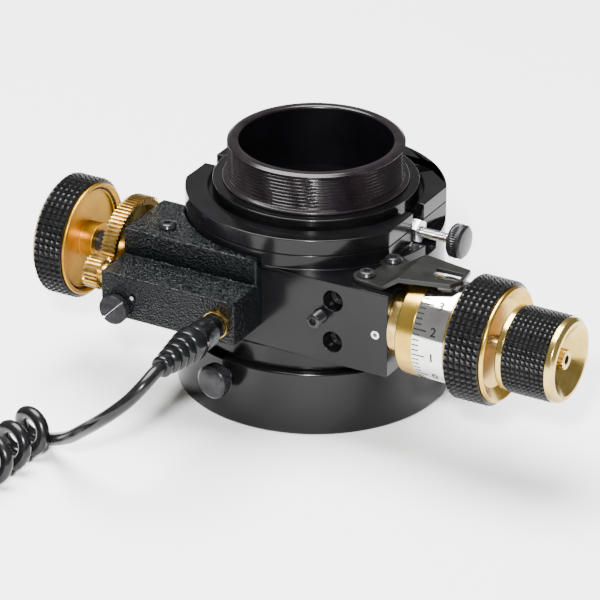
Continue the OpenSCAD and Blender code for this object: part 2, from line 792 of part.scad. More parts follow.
module base_ring() {
    color(black) difference() {
        rotate_extrude() polygon([[scope_thread_r, 0], [base_r - 0.6, 0], [base_r, 0.6],
            [base_r, base_h - 0.4], [base_r - 0.4, base_h], [spigot_r + fit, base_h],
            [spigot_r + fit, scope_thread_h], [scope_thread_r, scope_thread_h]]);
        for (k = [0:2]) rotate([0, 0, base_screw_angle + 120 * k])
            rod_x(30, 45, 2, 0, base_screw_z);
    }
}

module base_thumbscrew(k) {
    color("#252527") rotate([0, 0, base_screw_angle + 120 * k]) translate([0, 0, base_screw_z])
        thumbscrew(34.4, 42.4, 4.6, 2 - fit, 1.6);
}

focuser_body();
top_collar();
bearing_axles();
reduction_housing();
shaft_bushes();
tension_pad();
tension_screw();
body_cap_screws();
reduction_set_screw();
lock_nut();
index_plate();
index_plate_screws();
motor_cover();
cover_top_screw();
cover_slotted_screw();
cover_small_screw();
motor_bracket();
gearbox();
motor_can();
jack_socket();
jack_nut();
plug();
strain_relief();
cord_lead();
curly_cord();
cord_tail();
far_strain_relief();
far_plug();
drawtube();
thread_adapter();
drive_strip();
baffle_ring();
drive_shaft();
reduction_balls();
coarse_knob();
scale_dial();
coarse_grip();
coarse_set_screw();
drive_gear();
left_knob();
left_grip();
left_knob_screw();
fine_shaft();
fine_knob();
fine_grip();
fine_knob_screw();
motor_gear();
motor_shaft();
bearing(bearing_angle, bearing_high);  // bearing_high_right
bearing(180 - bearing_angle, bearing_high);  // bearing_high_left
bearing(bearing_angle, bearing_low);  // bearing_low_right
bearing(180 - bearing_angle, bearing_low);  // bearing_low_left
lock_thumbscrew();
base_ring();
base_thumbscrew(0);  // base_thumbscrew_1
base_thumbscrew(1);  // base_thumbscrew_2
base_thumbscrew(2);  // base_thumbscrew_3
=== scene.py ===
"""Looks of a motorised telescope focuser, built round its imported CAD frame.

Sizes are in millimetres until the meshes are written, which are in metres.
"""

import json
import math
import random

import bmesh
import bpy
from mathutils import Matrix, Vector


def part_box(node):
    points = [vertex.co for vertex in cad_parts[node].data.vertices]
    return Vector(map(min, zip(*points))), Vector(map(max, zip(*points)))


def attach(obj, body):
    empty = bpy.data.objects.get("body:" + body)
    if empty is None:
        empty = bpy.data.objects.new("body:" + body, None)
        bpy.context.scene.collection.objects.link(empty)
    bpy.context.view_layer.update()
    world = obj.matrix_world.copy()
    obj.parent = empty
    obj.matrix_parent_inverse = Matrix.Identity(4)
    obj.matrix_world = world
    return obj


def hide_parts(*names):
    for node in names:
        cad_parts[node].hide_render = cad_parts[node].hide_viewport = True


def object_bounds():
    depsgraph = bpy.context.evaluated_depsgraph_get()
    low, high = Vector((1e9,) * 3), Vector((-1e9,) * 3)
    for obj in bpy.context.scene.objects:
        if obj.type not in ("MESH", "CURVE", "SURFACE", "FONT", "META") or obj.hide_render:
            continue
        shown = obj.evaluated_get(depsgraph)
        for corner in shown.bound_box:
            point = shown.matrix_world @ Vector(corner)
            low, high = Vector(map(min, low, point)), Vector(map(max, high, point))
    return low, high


MM = 0.001
TURN = 2 * math.pi
random.seed(7)

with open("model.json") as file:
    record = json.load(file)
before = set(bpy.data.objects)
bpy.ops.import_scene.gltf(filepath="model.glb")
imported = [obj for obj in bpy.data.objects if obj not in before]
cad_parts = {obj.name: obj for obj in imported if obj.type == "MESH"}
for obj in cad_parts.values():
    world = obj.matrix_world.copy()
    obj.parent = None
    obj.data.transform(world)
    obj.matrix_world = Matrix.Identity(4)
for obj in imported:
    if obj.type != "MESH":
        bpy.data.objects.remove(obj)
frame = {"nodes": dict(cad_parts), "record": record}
cad_low, cad_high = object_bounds()
bodies_of = {n: b for b, nodes in frame["record"]["behaviour"]["bodies"].items() for n in nodes}
slot_of = {row["node"]: row["material_slot"] for row in frame["record"]["subparts"]}


def box(node):
    """A CAD node's lowest and highest corners, in millimetres."""
    low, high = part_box(node)
    return low / MM, high / MM


def centre(node):
    low, high = box(node)
    return (low + high) / 2


# ---- camera ----

CAMERA_AZIMUTH = math.radians(28.86)
CAMERA_ELEVATION = math.radians(26.77)
CAMERA_ROLL = math.radians(0.49)
CAMERA_DISTANCE = 1.226
TARGET_RIGHT = -0.00425
TARGET_UP = 0.02287
LENS = 254.8


def make_camera():
    a, e, r = CAMERA_AZIMUTH, CAMERA_ELEVATION, CAMERA_ROLL
    right = Vector((math.cos(a), math.sin(a), 0))
    up = Vector((-math.sin(a) * math.sin(e), math.cos(a) * math.sin(e), math.cos(e)))
    back = Vector((math.sin(a) * math.cos(e), -math.cos(a) * math.cos(e), math.sin(e)))
    across = right * math.cos(r) + up * math.sin(r)
    upright = up * math.cos(r) - right * math.sin(r)
    place = right * TARGET_RIGHT + Vector((0, 0, TARGET_UP)) + back * CAMERA_DISTANCE
    data = bpy.data.cameras.new("camera")
    data.lens = LENS
    data.sensor_width = 36
    data.clip_start = 0.05
    data.clip_end = 20
    camera = bpy.data.objects.new("camera", data)
    bpy.context.scene.collection.objects.link(camera)
    rows = [(across[i], upright[i], back[i], place[i]) for i in range(3)]
    camera.matrix_world = Matrix([*rows, (0, 0, 0, 1)])
    bpy.context.scene.camera = camera


make_camera()


# ---- materials ----

class Nodes:
    """Adds shader nodes to one material and links them."""

    def __init__(self, name):
        self.material = bpy.data.materials.new(name)
        self.material.use_nodes = True
        self.tree = self.material.node_tree
        self.shader = self.tree.nodes["Principled BSDF"]

    def add(self, kind, inputs=None, **settings):
        node = self.tree.nodes.new(kind)
        for key, value in settings.items():
            setattr(node, key, value)
        for key, value in (inputs or {}).items():
            if isinstance(value, bpy.types.NodeSocket):
                self.tree.links.new(value, node.inputs[key])
            else:
                node.inputs[key].default_value = value
        return node

    def link(self, value, name):
        self.tree.links.new(value, self.shader.inputs[name])


def turned_coordinates(nodes, axis, middle):
    """Distance along an axis and distance from it, so that a pattern runs in rings round the axis."""
    place = nodes.add("ShaderNodeTexCoord").outputs["Object"]
    moved = nodes.add("ShaderNodeVectorMath", {0: place, 1: middle}, operation="SUBTRACT").outputs[0]
    split = nodes.add("ShaderNodeSeparateXYZ", {0: moved})
    names = ["X", "Y", "Z"]
    along = names.pop(axis)
    flat = nodes.add("ShaderNodeCombineXYZ", {name: split.outputs[name] for name in names})
    off = nodes.add("ShaderNodeVectorMath", {0: flat.outputs[0]}, operation="LENGTH").outputs["Value"]
    return nodes.add("ShaderNodeCombineXYZ", {"X": split.outputs[along], "Y": off}).outputs[0]


def surface(name, dark, light, rough, metallic=0.0, grain=300, bump=0.1, bump_grain=2500, depth=0.00003,
            specular=0.5, turned=None, wrinkle=False):
    """A procedural finish: colour and roughness drift over the surface, and a fine relief
    bends the light."""
    nodes = Nodes(name)
    place = nodes.add("ShaderNodeTexCoord").outputs["Object"]
    rings = turned_coordinates(nodes, *turned) if turned else place
    drift = nodes.add("ShaderNodeTexNoise", {"Vector": place, "Scale": grain, "Detail": 3.0,
                                           "Roughness": 0.6})
    ramp = nodes.add("ShaderNodeValToRGB", {"Fac": drift.outputs["Fac"]})
    ramp.color_ramp.elements[0].position = 0.32
    ramp.color_ramp.elements[0].color = (*dark, 1)
    ramp.color_ramp.elements[1].position = 0.68
    ramp.color_ramp.elements[1].color = (*light, 1)
    nodes.link(ramp.outputs["Color"], "Base Color")
    smear = nodes.add("ShaderNodeTexNoise", {"Vector": rings, "Scale": grain * 0.4, "Detail": 2.0})
    limits = {"From Min": 0.3, "From Max": 0.7, "To Min": rough[0], "To Max": rough[1]}
    spread = nodes.add("ShaderNodeMapRange", {"Value": smear.outputs["Fac"], **limits})
    nodes.link(spread.outputs["Result"], "Roughness")
    if wrinkle:
        cells = nodes.add("ShaderNodeTexVoronoi", {"Vector": place, "Scale": bump_grain},
                          feature="SMOOTH_F1")
        height = cells.outputs["Distance"]
    else:
        relief = nodes.add("ShaderNodeTexNoise", {"Vector": rings, "Scale": bump_grain, "Detail": 2.0})
        height = relief.outputs["Fac"]
    lifted = nodes.add("ShaderNodeBump", {"Height": height, "Strength": bump, "Distance": depth})
    nodes.link(lifted.outputs["Normal"], "Normal")
    shader = nodes.shader.inputs
    shader["Metallic"].default_value = metallic
    shader["Specular IOR Level"].default_value = specular
    return nodes.material


shaft = centre("coarse_grip")
SHAFT_Y, SHAFT_Z = shaft.y, shaft.z
round_shaft = (0, (0, SHAFT_Y * MM, SHAFT_Z * MM))
round_optics = (2, (0, 0, 0))

finish = {
    "black_anodised": surface("black_anodised", (0.0015, 0.0015, 0.0018), (0.004, 0.004, 0.0045),
                              (0.14, 0.24),
                              grain=60, bump=0.05, bump_grain=5000, depth=0.00001, specular=0.2),
    "turned_black": surface("turned_black", (0.002, 0.002, 0.0022), (0.005, 0.0045, 0.005), (0.13, 0.22),
                            grain=60, bump=0.12, bump_grain=2600, depth=0.00001, specular=0.22,
                            turned=round_optics),
    "thread_black": surface("thread_black", (0.003, 0.002, 0.0026), (0.009, 0.006, 0.0075), (0.16, 0.26),
                            grain=150, bump=0.1, bump_grain=4000, depth=0.00001, specular=0.3,
                            turned=round_optics),
    "bore_black": surface("bore_black", (0.0008, 0.0008, 0.001), (0.002, 0.002, 0.0026), (0.22, 0.34),
                          grain=60, bump=0.1, bump_grain=1800, depth=0.00002, specular=0.3,
                          turned=round_optics),
    "satin_black": surface("satin_black", (0.004, 0.004, 0.0038), (0.01, 0.01, 0.009), (0.28, 0.4),
                           grain=200, bump=0.12, bump_grain=4000, depth=0.00002, specular=0.25),
    "wrinkle_paint": surface("wrinkle_paint", (0.0005, 0.001, 0.0012), (0.0015, 0.0026, 0.003),
                             (0.1, 0.18),
                             grain=900, bump=1.0, bump_grain=2000, depth=0.00035, specular=0.16,
                             wrinkle=True),
    "steel": surface("steel", (0.42, 0.43, 0.44), (0.66, 0.67, 0.68), (0.16, 0.3), metallic=1.0,
                     grain=350, bump=0.1, bump_grain=3000, depth=0.00001),
    "black_steel": surface("black_steel", (0.006, 0.006, 0.007), (0.022, 0.022, 0.024), (0.18, 0.32),
                           metallic=0.3, grain=400, bump=0.12, bump_grain=4000, depth=0.00001,
                           specular=0.3),
    "gold_anodised": surface("gold_anodised", (0.4, 0.19, 0.008), (0.62, 0.36, 0.03), (0.17, 0.3),
                             metallic=1.0, grain=90, bump=0.2, bump_grain=4200, depth=0.00001,
                             turned=round_shaft),
    "pale_gold": surface("pale_gold", (0.42, 0.28, 0.065), (0.66, 0.5, 0.17), (0.14, 0.24),
                         metallic=1.0, grain=90, bump=0.6, bump_grain=3000, depth=0.00002,
                         turned=round_shaft),
    "warm_gold": surface("warm_gold", (0.44, 0.26, 0.035), (0.66, 0.44, 0.09), (0.2, 0.32),
                         metallic=1.0, grain=90, bump=0.35, bump_grain=4200, depth=0.00001,
                         turned=round_shaft),
    "deep_gold": surface("deep_gold", (0.4, 0.19, 0.008), (0.6, 0.33, 0.022), (0.3, 0.42),
                         metallic=1.0, grain=90, bump=0.3, bump_grain=4200, depth=0.00001,
                         turned=round_shaft),
    "brass": surface("brass", (0.34, 0.21, 0.045), (0.66, 0.47, 0.17), (0.18, 0.34), metallic=1.0,
                     grain=260, bump=0.15, bump_grain=3500, depth=0.00001),
    "dial_label": surface("dial_label", (0.6, 0.59, 0.56), (0.8, 0.79, 0.76), (0.06, 0.1), metallic=1.0,
                          grain=120, bump=0.12, bump_grain=5200, depth=0.00001, turned=round_shaft),
    "grip_rubber": surface("grip_rubber", (0.002, 0.0022, 0.0022), (0.008, 0.0085, 0.008), (0.24, 0.4),
                           grain=700, bump=0.2, bump_grain=6000, depth=0.00003, specular=0.2),
    "cord_jacket": surface("cord_jacket", (0.0025, 0.0025, 0.003), (0.007, 0.007, 0.0075), (0.18, 0.3),
                           grain=250, bump=0.1, bump_grain=3000, depth=0.00002, specular=0.3),
    "plug_metal": surface("plug_metal", (0.05, 0.052, 0.055), (0.15, 0.155, 0.16), (0.14, 0.26),
                          metallic=1.0, grain=300, bump=0.1, bump_grain=4000, depth=0.00001),
    "black_plastic": surface("black_plastic", (0.002, 0.0022, 0.0024), (0.006, 0.0065, 0.007),
                             (0.16, 0.28),
                             grain=300, bump=0.12, bump_grain=5000, depth=0.00002, specular=0.28),
    "bracket_metal": surface("bracket_metal", (0.2, 0.2, 0.21), (0.36, 0.36, 0.37), (0.3, 0.45),
                             metallic=1.0, grain=300, bump=0.12, bump_grain=3000, depth=0.00001),
    "nylon": surface("nylon", (0.6, 0.58, 0.52), (0.75, 0.73, 0.68), (0.4, 0.55), grain=400, bump=0.1),
    "printed_mark": surface("printed_mark", (0.002, 0.002, 0.0025), (0.007, 0.007, 0.008), (0.35, 0.5),
                            grain=900, bump=0.1, specular=0.2),
}


# ---- mesh helpers ----

def piece(name, bm, material, node, replaced=True, sharp=32):
    """Writes a mesh as a piece that rides where a CAD node rides, and stands for that node."""
    bmesh.ops.recalc_face_normals(bm, faces=bm.faces)
    mesh = bpy.data.meshes.new(name)
    bm.to_mesh(mesh)
    bm.free()
    mesh.shade_smooth()
    mesh.set_sharp_from_angle(angle=math.radians(sharp))
    mesh.materials.append(finish[material])
    obj = bpy.data.objects.new(name, mesh)
    bpy.context.scene.collection.objects.link(obj)
    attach(obj, bodies_of[node])
    if replaced:
        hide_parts(node)
    return obj


def bevelled(name, node, width, material, segments=3, sharpest=26, dissolve=0.6):
    """A copy of a CAD node with its sharp edges rounded."""
    bm = bmesh.new()
    bm.from_mesh(frame["nodes"][node].data)
    bmesh.ops.remove_doubles(bm, verts=bm.verts, dist=2e-6)
    bmesh.ops.dissolve_limit(bm, angle_limit=math.radians(dissolve), verts=bm.verts, edges=bm.edges)
    corner = math.radians(sharpest)
    edges = [e for e in bm.edges if e.is_manifold and e.calc_face_angle(0) > corner]
    bmesh.ops.bevel(bm, geom=edges, offset=width * MM, segments=segments, profile=0.5, affect="EDGES",
                    clamp_overlap=False)
    obj = piece(name, bm, material, node, sharp=50)
    even = obj.modifiers.new("even_flats", "WEIGHTED_NORMAL")
    even.keep_sharp = True
    even.weight = 90
    return obj


def rounded(profile, size, steps=3):
    """A closed profile with its corners rounded."""
    out = []
    for i, point in enumerate(profile):
        here = Vector(point)
        before = Vector(profile[i - 1]) - here
        after = Vector(profile[(i + 1) % len(profile)]) - here
        if here.x < 1e-6 or before.length < 1e-6 or after.length < 1e-6:
            out.append(tuple(here))
            continue
        if before.angle(after) > math.radians(160):
            out.append(tuple(here))
            continue
        cut = min(size, before.length * 0.45, after.length * 0.45)
        start = here + before.normalized() * cut
        end = here + after.normalized() * cut
        for k in range(steps + 1):
            t = k / steps
            out.append(tuple(start * (1 - t) ** 2 + here * 2 * t * (1 - t) + end * t ** 2))
    return out


def lathe(profile, place, steps=96, shape=None):
    """A closed profile of (radius, distance) turned about the place's own Z. shape changes a radius by
    its place: it takes the radius, the distance and the angle."""
    bm = bmesh.new()
    rings = []
    for radius, along in profile:
        if radius < 1e-6:
            rings.append([bm.verts.new((place @ Vector((0, 0, along))) * MM)])
            continue
        ring = []
        for k in range(steps):
            angle = TURN * k / steps
            r = shape(radius, along, angle) if shape else radius
            point = Vector((r * math.cos(angle), r * math.sin(angle), along))
            ring.append(bm.verts.new((place @ point) * MM))
        rings.append(ring)
    for i, ring in enumerate(rings):
        following = rings[(i + 1) % len(rings)]
        if len(ring) == 1 and len(following) == 1:
            continue
        for k in range(steps):
            n = (k + 1) % steps
            if len(ring) == 1:
                bm.faces.new((ring[0], following[n], following[k]))
            elif len(following) == 1:
                bm.faces.new((ring[k], ring[n], following[0]))
            else:
                bm.faces.new((ring[k], ring[n], following[n], following[k]))
    return bm


def stretch(radius, start, end, rows):
    """A straight stretch of a profile in many rows, for a thread or a knurl."""
    return [(radius, start + (end - start) * k / rows) for k in range(rows + 1)]


def thread(pitch, depth, start, end, crest):
    """A shape for lathe: a screw thread between two distances."""
    def shape(radius, along, angle):
        if not start < along < end or abs(radius - crest) > 0.01:
            return radius
        turn = ((along - start) / pitch - angle / TURN) % 1
        fade = min(1, (along - start) / pitch * 2, (end - along) / pitch * 2)
        return radius - depth * fade * (1 - abs(2 * turn - 1)) ** 0.7
    return shape


def fluted(count, depth, start, end):
    """A shape for lathe: a straight knurl between two distances."""
    def shape(radius, along, angle):
        if not start < along < end:
            return radius
        return radius - depth * abs(math.sin(count * angle / 2))
    return shape


def aim(point, direction):
    """A place at a point whose Z looks along a direction."""
    turn = Vector(direction).to_track_quat("Z", "Y").to_matrix().to_4x4()
    return Matrix.Translation(Vector(point)) @ turn


# ---- cord: the route's points are those of the CAD solids ----

CORD_R = 1.9
lead_points = [
    (-2, -83.5, 38.2), (-2, -87, 38), (-3, -91.2, 35.8), (-6, -94, 31.8),
    (-10.5, -95.4, 27.4), (-16, -94.8, 22.6), (-22, -92.5, 17.5), (-27.5, -89.5, 12.9),
    (-32.5, -86, 9.3), (-36.8, -82.8, 6.4), (-40.6, -80.5, 4.3),
]
CURLY_Z = 6.9
CURLY_X = -45
CURLY_TURN_Y = -106
CURLY_BEND = 18
CURLY_RUN = 105
CURLY_HEADING = math.radians(118)
COIL_START_Y = -77
COIL_R = 4.95
run_dir = Vector((math.cos(CURLY_HEADING), math.sin(CURLY_HEADING), 0))
side_dir = Vector((math.sin(CURLY_HEADING), -math.cos(CURLY_HEADING), 0))
bend_centre = Vector((CURLY_X - CURLY_BEND, CURLY_TURN_Y, CURLY_Z))
bend_total = math.radians(270) - CURLY_HEADING
straight_first = COIL_START_Y - CURLY_TURN_Y
bend_length = CURLY_BEND * bend_total
coil_length = straight_first + bend_length + CURLY_RUN
bend_exit = bend_centre + CURLY_BEND * Vector((math.cos(bend_total), -math.sin(bend_total), 0))
curly_end = bend_exit + run_dir * CURLY_RUN
TAIL_BEND = 10
FAR_PLUG_Z = 4.1
FLOOR_Z = CORD_R + 0.1


def coil_axis(s):
    """The point and the heading of the curly stretch's axis, that far along it."""
    if s < straight_first:
        return Vector((CURLY_X, COIL_START_Y - s, CURLY_Z)), Vector((0, -1, 0))
    s -= straight_first
    if s < bend_length:
        a = s / CURLY_BEND
        out = Vector((math.cos(a), -math.sin(a), 0))
        return bend_centre + out * CURLY_BEND, Vector((-math.sin(a), -math.cos(a), 0))
    return bend_exit + run_dir * (s - bend_length), run_dir


def coil_pitch(s):
    """Open turns where the cord is pulled out, and nearly closed ones along the floor."""
    pitches = [(0, 9.6), (straight_first - 4, 9.2), (straight_first + 6, 5.3),
               (straight_first + bend_length, 5.0), (straight_first + bend_length + 12, 4.05),
               (coil_length - 8, 4.05), (coil_length, 9.0)]
    for (a, low), (b, high) in zip(pitches, pitches[1:]):
        if s <= b:
            return low + (high - low) * (s - a) / (b - a)
    return pitches[-1][1]


def coil_points(per_turn=26):
    points = []
    s = 0.0
    angle = math.radians(270)
    step = TURN / per_turn
    while s < coil_length:
        point, heading = coil_axis(s)
        right = heading.cross(Vector((0, 0, 1)))
        points.append(point + COIL_R * (math.cos(angle) * right + math.sin(angle) * Vector((0, 0, 1))))
        angle += step
        s += coil_pitch(s) / per_turn
    left = angle % TURN
    while abs((left - math.radians(270) + math.pi) % TURN - math.pi) > step / 2:
        points.pop()
        left -= step
    return points


def tail_points():
    start = curly_end.copy()
    start.z = FLOOR_Z
    middle = start + 6 * run_dir + TAIL_BEND * side_dir
    points = []
    for degrees in range(165, -1, -15):
        a = math.radians(degrees)
        points.append(middle + TAIL_BEND * (math.cos(a) * side_dir + math.sin(a) * run_dir))
    beside = middle + TAIL_BEND * side_dir
    lift = Vector((0, 0, 1))
    points.append(beside - 15 * run_dir)
    points.append(beside - 30 * run_dir + 0.8 * lift)
    end = beside - 45 * run_dir + (FAR_PLUG_Z - FLOOR_Z) * lift
    points.append(end + 4 * run_dir)
    points.append(end)
    return points, end


def smoothed(points, steps):
    """Points on one smooth curve through the given ones."""
    out = []
    last = len(points) - 1
    for i in range(last):
        p0, p1 = points[max(i - 1, 0)], points[i]
        p2, p3 = points[i + 1], points[min(i + 2, last)]
        for k in range(steps):
            t = k / steps
            out.append(0.5 * (2 * p1 + (p2 - p0) * t + (2 * p0 - 5 * p1 + 4 * p2 - p3) * t ** 2
                              + (3 * p1 - p0 - 3 * p2 + p3) * t ** 3))
    out.append(points[last])
    return out


def make_cord():
    coil = coil_points()
    tail, tail_end = tail_points()
    lead = [Vector(p) for p in lead_points]
    route = smoothed([*lead, *coil[:2]], 6)[:-1] + coil[1:-1] + smoothed([coil[-1], *tail], 6)
    for point in route:
        point.z = max(point.z, CORD_R + 0.02)
    curve = bpy.data.curves.new("motor_cord", "CURVE")
    curve.dimensions = "3D"
    curve.bevel_depth = CORD_R * MM
    curve.bevel_resolution = 4
    curve.use_fill_caps = True
    spline = curve.splines.new("POLY")
    spline.points.add(len(route) - 1)
    for point, place in zip(spline.points, route):
        point.co = (*(place * MM), 1)
    spline.use_smooth = True
    curve.materials.append(finish["cord_jacket"])
    obj = bpy.data.objects.new("motor_cord", curve)
    bpy.context.scene.collection.objects.link(obj)
    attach(obj, "housing")
    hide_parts("cord_lead", "curly_cord", "cord_tail")
    length = sum((b - a).length for a, b in zip(route, route[1:]))
    return obj, length, tail_end


cord, cord_length, tail_end = make_cord()
jack = centre("jack_nut")
RELIEF_START, RELIEF_END = -66, -83.5
toward_front = aim((jack.x, 0, jack.z), (0, -1, 0))


def relief_profile(start, length, big, fall):
    """A smooth collar, three shrinking ribs parted by narrow grooves, and a plain ring at the cord."""
    collar = length * 0.27
    pitch = length * 0.175
    points = [(0, start), (big - 0.25, start), (big - 0.05, start + 0.3), (big, start + 1.0)]
    points += [(big, start + collar - 0.8), (big - 0.2, start + collar - 0.3)]
    for k in range(3):
        crest = big - fall * (k + 1)
        foot = start + collar + pitch * k
        points += [(crest - 1.1, foot), (crest - 1.1, foot + pitch * 0.2)]
        for t in range(1, 10):
            bulge = 0.5 * math.sin(math.pi * t / 10) ** 0.5
            points.append((crest - 0.5 + bulge, foot + pitch * (0.2 + 0.08 * t)))
    tip = start + length
    points += [(2.6, tip - 3.4), (2.6, tip - 2.6), (3.0, tip - 2.3), (3.1, tip - 1.9), (3.1, tip - 0.6)]
    points += [(2.85, tip - 0.2), (2.35, tip), (0, tip)]
    return points


def make_plug():
    shell = rounded([(0, 54.6), (1.7, 54.6), (1.7, 55.0), (3.5, 55.0), (3.7, 55.3), (3.7, 58.2),
                     (4.3, 58.4)], 0.1)
    for k in range(10):
        foot = 58.55 + 0.55 * k
        shell += [(4.38, foot), (4.38, foot + 0.3), (4.2, foot + 0.38), (4.2, foot + 0.47)]
    shell += [(4.36, 64.2), (4.36, 65.0), (4.2, 65.6), (3.8, 66.0), (0, 66.0)]
    plug = piece("plug_shell", lathe(shell, toward_front, 96), "plug_metal", "plug", sharp=28)
    bm = lathe(relief_profile(-RELIEF_START, RELIEF_START - RELIEF_END, 5.0, 0.45), toward_front, 64)
    relief = piece("cord_strain_relief", bm, "black_plastic", "strain_relief", sharp=60)
    away = aim(tail_end, -run_dir)
    turned_back = away @ Matrix.Translation((0, 0, 16)) @ Matrix.Rotation(math.pi, 4, "X")
    bm = lathe(relief_profile(0, 16, 4.1, 0.25), turned_back, 64)
    far_relief = piece("far_relief", bm, "black_plastic", "far_strain_relief", sharp=60)
    shell = rounded([(0, 16), (3.4, 16), (4, 18), (4, 24), (3.7, 24.4), (3.7, 28), (1.7, 28), (1.7, 31.2),
                     (1.5, 31.4), (1.7, 31.6), (1.7, 34.2), (1.5, 34.4), (1.7, 34.6), (1.7, 37),
                     (1, 39), (0, 39)], 0.15)
    bm = lathe(shell, away, 96, fluted(60, 0.14, 18.1, 23.9))
    far_plug = piece("far_plug_shell", bm, "plug_metal", "far_plug")
    return plug, relief, far_relief, far_plug


plug, relief, far_relief, far_plug = make_plug()


# ---- round parts on the focus shaft ----

def knurled_grip(name, node, inner, rows, columns, depth, top=0.36):
    """A rubber sleeve of square pyramids, with its axis along X."""
    low, high = box(node)
    outer = (high.z - low.z) / 2
    groove = outer - depth
    bm = bmesh.new()

    def at(x, r, angle):
        return bm.verts.new(Vector((x, SHAFT_Y + r * math.cos(angle), SHAFT_Z + r * math.sin(angle))) * MM)

    width = (high.x - low.x) / rows
    turn = TURN / columns
    grid = [[at(low.x + j * width, groove, i * turn) for i in range(columns)] for j in range(rows + 1)]
    for j in range(rows):
        for i in range(columns):
            n = (i + 1) % columns
            corners = (grid[j][i], grid[j][n], grid[j + 1][n], grid[j + 1][i])
            crest = outer - random.uniform(0, 0.05)
            tops = []
            for dj, di in ((-1, -1), (-1, 1), (1, 1), (1, -1)):
                x = low.x + (j + 0.5 + dj * top / 2) * width
                tops.append(at(x, crest, (i + 0.5 + di * top / 2) * turn))
            bm.faces.new(tops)
            for k in range(4):
                m = (k + 1) % 4
                bm.faces.new((corners[k], corners[m], tops[m], tops[k]))
    ends = [[at(x, inner, i * turn) for i in range(columns)] for x in (low.x, high.x)]
    for i in range(columns):
        n = (i + 1) % columns
        bm.faces.new((grid[0][i], grid[0][n], ends[0][n], ends[0][i]))
        bm.faces.new((grid[rows][i], grid[rows][n], ends[1][n], ends[1][i]))
        bm.faces.new((ends[0][i], ends[0][n], ends[1][n], ends[1][i]))
    return piece(name, bm, "grip_rubber", node, sharp=20)


knurled_grip("coarse_rubber", "coarse_grip", 14.5, 6, 58, 0.75, 0.32)
knurled_grip("left_rubber", "left_grip", 14.5, 5, 58, 0.75, 0.32)
knurled_grip("fine_rubber", "fine_grip", 9.8, 9, 50, 0.6, 0.3)
bevelled("coarse_knob_metal", "coarse_knob", 0.18, "warm_gold")
bevelled("left_knob_metal", "left_knob", 0.18, "deep_gold")
bevelled("fine_knob_metal", "fine_knob", 0.18, "pale_gold")
bevelled("reducer_bush", "reduction_housing", 0.2, "brass")
bevelled("left_end_screw", "left_knob_screw", 0.12, "black_steel")

DIAL_MARKS = 60
FIRST_FIGURE = -8.0


def on_dial(x, angle, r):
    """A point of the dial; the angle is 0 at the front and grows upward."""
    return Vector((x, SHAFT_Y - r * math.cos(angle), SHAFT_Z + r * math.sin(angle))) * MM


def make_dial():
    low, high = box("scale_dial")
    r = (high.z - low.z) / 2
    profile = rounded([(r - 0.6, low.x), (r, low.x), (r, high.x), (r - 0.6, high.x)], 0.12)
    ring = lathe(profile, aim((0, SHAFT_Y, SHAFT_Z), (1, 0, 0)), 160)
    piece("dial_ring", ring, "dial_label", "scale_dial")
    bm = bmesh.new()
    for k in range(DIAL_MARKS):
        angle = math.radians(FIRST_FIGURE) + TURN * k / DIAL_MARKS
        length = 3.8 if k % 5 == 0 else 2.0
        half = (0.2 if k % 5 == 0 else 0.18) / r
        corners = []
        for radius in (r - 0.03, r + 0.03):
            for x, a in ((low.x + 0.25, -half), (low.x + 0.25 + length, -half),
                         (low.x + 0.25 + length, half), (low.x + 0.25, half)):
                corners.append(bm.verts.new(on_dial(x, angle + a, radius)))
        for face in ((0, 1, 2, 3), (7, 6, 5, 4), (0, 4, 5, 1), (1, 5, 6, 2), (2, 6, 7, 3), (3, 7, 4, 0)):
            bm.faces.new([corners[v] for v in face])
    piece("dial_marks", bm, "printed_mark", "scale_dial", replaced=False)
    bm = bmesh.new()
    for number in range(12):
        add_figure(bm, str(number), high.x - 3.4, math.radians(FIRST_FIGURE + 30 * (number - 1)), r)
    piece("dial_figures", bm, "printed_mark", "scale_dial", replaced=False)


def add_figure(bm, text, x, angle, r):
    """A figure bent onto the dial."""
    curve = bpy.data.curves.new("figure", "FONT")
    curve.body = text
    curve.size = 3.6
    curve.align_x = "CENTER"
    curve.align_y = "CENTER"
    curve.resolution_u = 4
    curve.offset = 0.09
    obj = bpy.data.objects.new("figure", curve)
    bpy.context.scene.collection.objects.link(obj)
    flat = bpy.data.meshes.new_from_object(obj)
    bpy.data.objects.remove(obj)
    own = bmesh.new()
    own.from_mesh(flat)
    bpy.data.meshes.remove(flat)
    bmesh.ops.remove_doubles(own, verts=own.verts, dist=1e-4)
    bmesh.ops.triangulate(own, faces=own.faces)
    for _ in range(3):
        long_edges = [e for e in own.edges if e.calc_length() > 0.5]
        bmesh.ops.subdivide_edges(own, edges=long_edges, cuts=1)
        bmesh.ops.triangulate(own, faces=own.faces)
    front = {v: bm.verts.new(on_dial(x + v.co.x, angle + v.co.y / r, r + 0.03)) for v in own.verts}
    back = {v: bm.verts.new(on_dial(x + v.co.x, angle + v.co.y / r, r - 0.03)) for v in own.verts}
    seen = set()
    for face in own.faces:
        corners = frozenset(face.verts)
        if corners in seen:
            continue
        seen.add(corners)
        bm.faces.new([front[v] for v in face.verts])
        bm.faces.new([back[v] for v in reversed(face.verts[:])])
    for edge in own.edges:
        if len(edge.link_faces) == 1:
            a, b = edge.verts
            bm.faces.new((front[a], front[b], back[b], back[a]))
    own.free()


make_dial()


